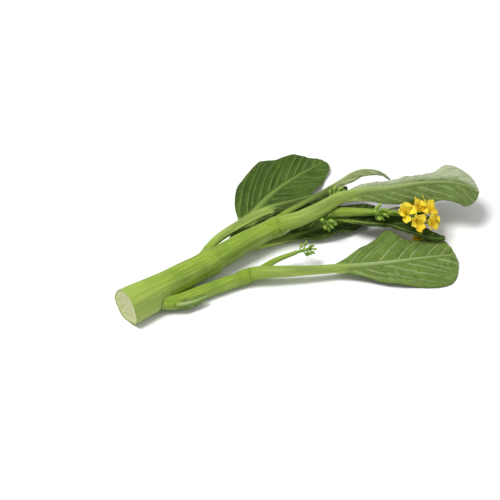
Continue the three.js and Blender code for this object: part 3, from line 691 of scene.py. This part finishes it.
class Paint:
    """A node material of one surface shader, with short ways to add the nodes that this plant needs."""

    def __init__(self, name, roughness, specular=0.5, subsurface=0.0, coat=0.0):
        self.material = bpy.data.materials.new(name)
        self.material.use_nodes = True
        self.nodes, self.links = self.material.node_tree.nodes, self.material.node_tree.links
        self.shader = next(n for n in self.nodes if n.type == "BSDF_PRINCIPLED")
        self.shader.inputs["Roughness"].default_value = roughness
        self.shader.inputs["Specular IOR Level"].default_value = specular
        self.shader.inputs["Subsurface Weight"].default_value = subsurface
        self.shader.inputs["Subsurface Scale"].default_value = 0.004
        self.shader.inputs["Subsurface Radius"].default_value = (0.6, 0.9, 0.25)
        self.shader.inputs["Coat Weight"].default_value = coat
        self.shader.inputs["Coat Roughness"].default_value = 0.3

    def feed(self, item, socket):
        """Links an output into a socket, or sets the socket to a number or a colour."""
        if isinstance(item, bpy.types.NodeSocket):
            self.links.new(item, socket)
        else:
            socket.default_value = (*item, 1) if isinstance(item, tuple) else item

    def value(self, name):
        """A per-point value of the piece."""
        node = self.nodes.new("ShaderNodeAttribute")
        node.attribute_name = name
        return node.outputs["Fac"]

    def math(self, operation, a, b=0.0):
        """One step of arithmetic."""
        node = self.nodes.new("ShaderNodeMath")
        node.operation = operation
        for socket, item in zip(node.inputs, (a, b)):
            self.feed(item, socket)
        return node.outputs[0]

    def vector(self, x, y, z):
        """A vector of three values."""
        node = self.nodes.new("ShaderNodeCombineXYZ")
        for socket, item in zip(node.inputs, (x, y, z)):
            self.feed(item, socket)
        return node.outputs[0]

    def object_point(self):
        """Object coordinates, in metres."""
        return self.nodes.new("ShaderNodeTexCoord").outputs["Object"]

    def noise(self, vector, scale, detail=3.0, roughness=0.55):
        """A cloudy pattern, 0 to 1."""
        node = self.nodes.new("ShaderNodeTexNoise")
        node.inputs["Scale"].default_value = scale
        node.inputs["Detail"].default_value = detail
        node.inputs["Roughness"].default_value = roughness
        self.links.new(vector, node.inputs["Vector"])
        return node.outputs["Fac"]

    def net(self, vector, scale):
        """A net of fine veins: the distance to the nearest cell edge."""
        node = self.nodes.new("ShaderNodeTexVoronoi")
        node.feature = "DISTANCE_TO_EDGE"
        node.inputs["Scale"].default_value = scale
        self.links.new(vector, node.inputs["Vector"])
        return node.outputs["Distance"]

    def band(self, value, low, high, from_value=0.0, to_value=1.0):
        """A value carried smoothly from one range to another."""
        node = self.nodes.new("ShaderNodeMapRange")
        node.interpolation_type = "SMOOTHSTEP"
        numbers = {"From Min": low, "From Max": high, "To Min": from_value, "To Max": to_value}
        for key, number in numbers.items():
            node.inputs[key].default_value = number
        self.links.new(value, node.inputs["Value"])
        return node.outputs["Result"]

    def blend(self, share, a, b):
        """One colour laid over another by a share."""
        node = self.nodes.new("ShaderNodeMix")
        node.data_type = "RGBA"
        self.links.new(share, node.inputs["Factor"])
        for key, item in (("A", a), ("B", b)):
            self.feed(item, next(i for i in node.inputs if i.name == key and i.type == "RGBA"))
        return next(o for o in node.outputs if o.type == "RGBA")

    def finish(self, colour, height=None, depth=0.0, roughness=None):
        """Joins the colour, the bump and the roughness to the shader."""
        self.links.new(colour, self.shader.inputs["Base Color"])
        if roughness is not None:
            self.links.new(roughness, self.shader.inputs["Roughness"])
        if height is not None:
            bump = self.nodes.new("ShaderNodeBump")
            bump.inputs["Distance"].default_value = depth
            self.links.new(height, bump.inputs["Height"])
            self.links.new(bump.outputs["Normal"], self.shader.inputs["Normal"])
        return self.material


def stem_skin():
    """Waxy green skin, faintly streaked lengthwise and paler towards the cut, with painted shade darkening
    its lower side; at the cut, whitish pith, a ring of bundles, a thin green rind and a dried brown rim."""
    paint = Paint("choy_stem_skin", 0.4, specular=0.3, subsurface=0.06, coat=0.2)
    run, turn_y, turn_z = (paint.value(key) for key in ("run", "turn_y", "turn_z"))
    grain = paint.vector(paint.math("MULTIPLY", run, 0.03), paint.math("MULTIPLY", turn_y, 0.55),
                         paint.math("MULTIPLY", turn_z, 0.55))
    streaks = paint.noise(grain, 1.5, 4)
    clouds = paint.noise(paint.object_point(), 55, 3)
    specks = paint.noise(paint.object_point(), 1100, 2)
    colour = paint.blend(paint.band(streaks, 0.32, 0.66), (0.155, 0.255, 0.015), (0.28, 0.395, 0.042))
    colour = paint.blend(paint.band(clouds, 0.42, 0.7, 0, 0.6), colour, (0.125, 0.215, 0.014))
    colour = paint.blend(paint.band(run, 0, 45, 0.5, 0), colour, (0.34, 0.44, 0.085))
    # Painted shade: the lower side of the stem is darkened towards a deeper green.
    colour = paint.blend(paint.band(turn_z, -10, 1, 0.5, 0), colour, (0.105, 0.185, 0.012))
    colour = paint.blend(paint.band(specks, 0.6, 0.76, 0, 0.3), colour, (0.4, 0.49, 0.17))
    colour = paint.blend(paint.band(paint.value("rim"), 0.1, 0.5, 0, 0.45), colour, (0.36, 0.44, 0.13))
    colour = paint.blend(paint.band(paint.value("notch"), 0.25, 0.9, 0, 0.8), colour, (0.06, 0.085, 0.012))
    share, cut = paint.value("share"), paint.value("cut")
    across = paint.vector(0.0, turn_y, turn_z)
    mottle = paint.noise(across, 0.5, 4)
    flesh = paint.blend(paint.band(mottle, 0.35, 0.7), (0.35, 0.37, 0.155), (0.48, 0.49, 0.25))
    flesh = paint.blend(paint.band(share, 0.5, 0.86, 0, 0.75), flesh, (0.37, 0.43, 0.13))
    bundles = paint.band(paint.net(across, 0.75), 0.02, 0.14, 1, 0)
    ring = paint.math("MULTIPLY", paint.band(share, 0.66, 0.76), paint.band(share, 0.86, 0.95, 1, 0))
    flesh = paint.blend(paint.math("MULTIPLY", paint.math("MULTIPLY", ring, bundles), 0.45), flesh,
                        (0.6, 0.64, 0.36))
    flesh = paint.blend(paint.band(share, 0.9, 0.98, 0, 0.7), flesh, (0.21, 0.2, 0.05))
    colour = paint.blend(cut, colour, flesh)
    height = paint.math("ADD", paint.math("MULTIPLY", streaks, 0.5), paint.math("MULTIPLY", specks, 0.25))
    return paint.finish(colour, height, 0.0005, paint.band(clouds, 0.3, 0.7, 0.36, 0.46))


def vein_line(paint, order, cross):
    """A line along each side vein. It narrows away from the midrib and is wider on the right half."""
    off_middle = paint.math("SUBTRACT", paint.math("FRACT", paint.math("ADD", order, 0.5)), 0.5)
    gap = paint.math("MULTIPLY", paint.math("ABSOLUTE", off_middle), VEIN_SPACING)
    width = paint.band(paint.math("ABSOLUTE", cross), 2, 24, 1.0, 0.42)
    width = paint.math("MULTIPLY", width, paint.band(paint.value("share"), -0.05, 0.05, 0.9, 1.5))
    return paint.band(paint.math("DIVIDE", gap, width), 0.3, 1.5, 1, 0)


def rib_tone(paint, run, cross, stalk, vein):
    """Green of the stalk and the midrib: striped lengthwise, as green as the stem at the base, and paling
    to the colour of the veins along the blade."""
    grain = paint.vector(paint.math("MULTIPLY", run, 0.03), cross, paint.value("under"))
    stripes = paint.noise(grain, 1.1, 3)
    tone = paint.blend(paint.band(stripes, 0.3, 0.7), tuple(0.6 * c for c in stalk), stalk)
    tone = paint.blend(paint.value("base"), tone, (0.23, 0.345, 0.03))
    return paint.blend(paint.band(paint.value("q"), 0.0, 0.35, 0, 0.85), tone, vein)


def leaf_skin(name, under, upper, vein, stalk, bloom_and_sheen, roughness):
    """Leaf skin. The underside and the upper face have their own greens, mottled; ribs, stalk and side
    veins are paler, with a fine net between them; a waxy bloom, with a painted sheen on it, greys the left
    half of the underside."""
    paint = Paint("choy_" + name + "_leaf_skin", roughness, specular=0.16, subsurface=0.04)
    run, cross, order = (paint.value(key) for key in ("run", "cross", "order"))
    face, share, veined, q = (paint.value(key) for key in ("under", "share", "veined", "q"))
    clouds = paint.noise(paint.object_point(), 52, 4)
    sheet = paint.vector(run, cross, face)
    patches = paint.noise(sheet, 0.26, 5, 0.62)
    fine = paint.noise(sheet, 1.1, 4)
    grain = paint.noise(sheet, 4.5, 2)
    line = paint.math("MULTIPLY", vein_line(paint, order, cross), veined)
    lattice = paint.vector(paint.math("MULTIPLY", order, 2.3), paint.math("MULTIPLY", cross, 0.26), face)
    net = paint.math("MULTIPLY", paint.band(paint.net(lattice, 1.0), 0.0, 0.07, 1, 0), veined)
    web = paint.band(paint.net(sheet, 0.75), 0.0, 0.13, 1, 0)
    colour = paint.blend(face, upper, under)
    shade = paint.blend(face, tuple(0.55 * c for c in upper), tuple(0.6 * c for c in under))
    colour = paint.blend(paint.band(clouds, 0.32, 0.68, 0, 0.7), colour, shade)
    colour = paint.blend(paint.band(patches, 0.38, 0.68, 0, 0.6), colour, shade)
    colour = paint.blend(paint.band(fine, 0.4, 0.75, 0, 0.45), colour, shade)
    # Waxy bloom and painted sheen: the left half of the underside is paled towards a grey sheen colour.
    left_half = paint.band(share, -0.45, -0.05, bloom_and_sheen, 0)
    colour = paint.blend(paint.math("MULTIPLY", left_half, face), colour, (0.52, 0.57, 0.38))
    for pattern, strength in ((web, 0.12), (net, 0.2), (line, 0.52)):
        colour = paint.blend(paint.math("MULTIPLY", pattern, strength), colour, vein)
    margin = paint.band(paint.math("ABSOLUTE", share), 0.94, 1.0, 0, 0.55)
    colour = paint.blend(margin, colour, (0.08, 0.11, 0.02))
    off_blade = paint.math("MULTIPLY", paint.band(paint.value("blade"), 0.0, 0.7, 1, 0),
                           paint.band(q, 0.0, 0.2, 1, 0))
    on_rib = paint.math("MULTIPLY", paint.value("rib"), paint.band(q, 0.0, 1.0, 1, 0.7))
    colour = paint.blend(paint.math("MAXIMUM", off_blade, on_rib), colour,
                         rib_tone(paint, run, cross, stalk, vein))
    colour = paint.blend(paint.math("MULTIPLY", paint.value("ring"), 0.6), colour, (0.09, 0.14, 0.015))
    height = paint.math("ADD", paint.math("MULTIPLY", net, 0.3), paint.math("MULTIPLY", line, 0.5))
    for pattern, strength in ((patches, 1.1), (fine, 0.6), (grain, 0.3)):
        height = paint.math("ADD", height, paint.math("MULTIPLY", pattern, strength))
    gloss = paint.band(clouds, 0.3, 0.7, roughness - 0.08, roughness + 0.08)
    return paint.finish(colour, height, 0.0011, gloss)


def bud_skin():
    """Yellow-green buds, paler towards their tips."""
    paint = Paint("choy_bud_skin", 0.45, specular=0.25, subsurface=0.05)
    specks = paint.noise(paint.object_point(), 700, 2)
    colour = paint.blend(paint.value("tone"), (0.15, 0.28, 0.025), (0.27, 0.41, 0.06))
    colour = paint.blend(paint.band(paint.value("tip"), 0.6, 1.0, 0, 0.55), colour, (0.42, 0.47, 0.08))
    colour = paint.blend(paint.band(specks, 0.5, 0.8, 0, 0.3), colour, (0.08, 0.17, 0.016))
    return paint.finish(colour, specks, 0.0003)


def flower_skin():
    """Golden petals, deeper towards the claw and finely veined lengthwise; stalk and cup are green."""
    paint = Paint("choy_petal_skin", 0.55, specular=0.2, subsurface=0.1)
    cross, tip = paint.value("cross"), paint.value("tip")
    lines = paint.noise(paint.vector(paint.math("MULTIPLY", tip, 1.2), paint.math("MULTIPLY", cross, 6.0),
                                     paint.value("tone")), 1.4, 3)
    gold = paint.blend(paint.value("tone"), (0.92, 0.66, 0.02), (0.96, 0.8, 0.06))
    gold = paint.blend(paint.band(tip, 0.0, 0.45, 0.6, 0), gold, (0.8, 0.42, 0.008))
    gold = paint.blend(paint.band(lines, 0.45, 0.75, 0, 0.35), gold, (0.85, 0.5, 0.01))
    green = paint.blend(paint.value("tone"), (0.1, 0.21, 0.02), (0.2, 0.33, 0.045))
    colour = paint.blend(paint.value("petal"), green, gold)
    return paint.finish(colour, lines, 0.0004)


def table_top():
    """A plain white table."""
    paint = Paint("white_table", 0.6, specular=0.2)
    tone = paint.noise(paint.object_point(), 3, 2)
    return paint.finish(paint.blend(tone, (0.93, 0.93, 0.93), (0.95, 0.95, 0.95)))


# ------------------------------------------------------------------ the shoot

def shift_to_frame():
    """Where the middle of the shoot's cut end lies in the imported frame, in metres: the low corner of the
    packed stem, less the low corner of the same stem worked out here."""
    rings, _, _, _ = skin_rings(STEM_PATH, stem_radius, 35, 16)
    return np.array(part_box("stem")[0]) - rings.reshape(-1, 3).min(0) * MM


SHIFT = shift_to_frame()


def place(points):
    """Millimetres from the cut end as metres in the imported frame."""
    return np.asarray(points, float) * MM + SHIFT


STALK_GREEN = (0.36, 0.49, 0.1)

# Leaf skins: the greens of the underside, the upper face, the veins and the stalk, how grey the waxy bloom
# and a painted sheen make the left half of the underside, and the roughness.
LEAF_GREENS = {
    "waxy": ((0.16, 0.25, 0.055), (0.05, 0.11, 0.012), (0.36, 0.45, 0.17), STALK_GREEN, 0.85, 0.45),
    "broad": ((0.17, 0.285, 0.04), (0.055, 0.115, 0.013), (0.42, 0.51, 0.23), STALK_GREEN, 0.0, 0.5),
    "pale": ((0.3, 0.38, 0.14), (0.1, 0.17, 0.03), (0.5, 0.57, 0.3), (0.22, 0.32, 0.06), 0.7, 0.5),
    "dark": ((0.06, 0.11, 0.012), (0.04, 0.085, 0.009), (0.15, 0.22, 0.05), STALK_GREEN, 0.0, 0.45),
    "upper": ((0.13, 0.215, 0.04), (0.08, 0.155, 0.018), (0.22, 0.32, 0.07), STALK_GREEN, 0.0, 0.45),
}
STEM_SKIN = stem_skin()
LEAF_SKINS = {skin_name: leaf_skin(skin_name, *greens) for skin_name, greens in LEAF_GREENS.items()}
BUD_SKIN = bud_skin()
FLOWER_SKIN = flower_skin()

make_stem()
make_branch()
for number, (leaf_name, leaf_shape) in enumerate(LEAVES.items()):
    make_leaf(leaf_name, leaf_shape, 100 + 10 * number)
for number, (cluster_name, cluster) in enumerate(BUD_CLUSTERS.items()):
    piece("choy_" + cluster_name, *bud_cluster(*cluster, 300 + number), BUD_SKIN, cluster_name, "bud")
for number, flower_shape in enumerate(FLOWERS):
    flower_name = f"flower_{number + 1}"
    piece("choy_" + flower_name, *flower(*flower_shape, 400 + number), FLOWER_SKIN, flower_name, "flower")


# ------------------------------------------------------------------ table, light and camera

def make_table():
    """A broad flat white table under the shoot."""
    mesh = bpy.data.meshes.new("table_top")
    reach = 3.0
    corners = [(-reach, -reach, 0), (reach, -reach, 0), (reach, reach, 0), (-reach, reach, 0)]
    mesh.from_pydata(corners, [], [(0, 1, 2, 3)])
    mesh.materials.append(table_top())
    table = bpy.data.objects.new("table_top", mesh)
    bpy.context.scene.collection.objects.link(table)


def make_lamp(name, place_at, target, size, power):
    """A square soft lamp that faces a target."""
    lamp = bpy.data.lights.new(name, "AREA")
    lamp.size = size
    lamp.energy = power
    holder = bpy.data.objects.new(name, lamp)
    holder.location = place_at
    holder.rotation_euler = (Vector(target) - Vector(place_at)).to_track_quat("-Z", "Y").to_euler()
    bpy.context.scene.collection.objects.link(holder)


def make_camera(azimuth, elevation, distance, target):
    """A 90 mm lens that looks at target from an azimuth and elevation in degrees, as view angles go here:
    azimuth 0 looks along +Y."""
    a, e = math.radians(azimuth), math.radians(elevation)
    back = Vector((math.sin(a) * math.cos(e), -math.cos(a) * math.cos(e), math.sin(e)))
    data = bpy.data.cameras.new("camera")
    data.lens = 90
    data.sensor_width = 36
    camera = bpy.data.objects.new("camera", data)
    camera.location = Vector(target) + back * distance
    camera.rotation_euler = back.to_track_quat("Z", "Y").to_euler()
    bpy.context.scene.collection.objects.link(camera)
    bpy.context.scene.camera = camera


make_table()
make_camera(azimuth=-40, elevation=38, distance=0.812, target=place([101.1, 3.96, 0.61]))
make_lamp("key_lamp", (-0.5, 0.25, 1.2), (0, 0, 0), 0.6, 17)
make_lamp("fill_lamp", (0.9, -1.1, 0.9), (0, 0, 0), 1.2, 4)
world = bpy.data.worlds.new("studio_white")
world.use_nodes = True
world.node_tree.nodes["Background"].inputs["Color"].default_value = (1, 1, 1, 1)
world.node_tree.nodes["Background"].inputs["Strength"].default_value = 0.46
bpy.context.scene.world = world
bpy.context.scene.view_settings.view_transform = "Standard"
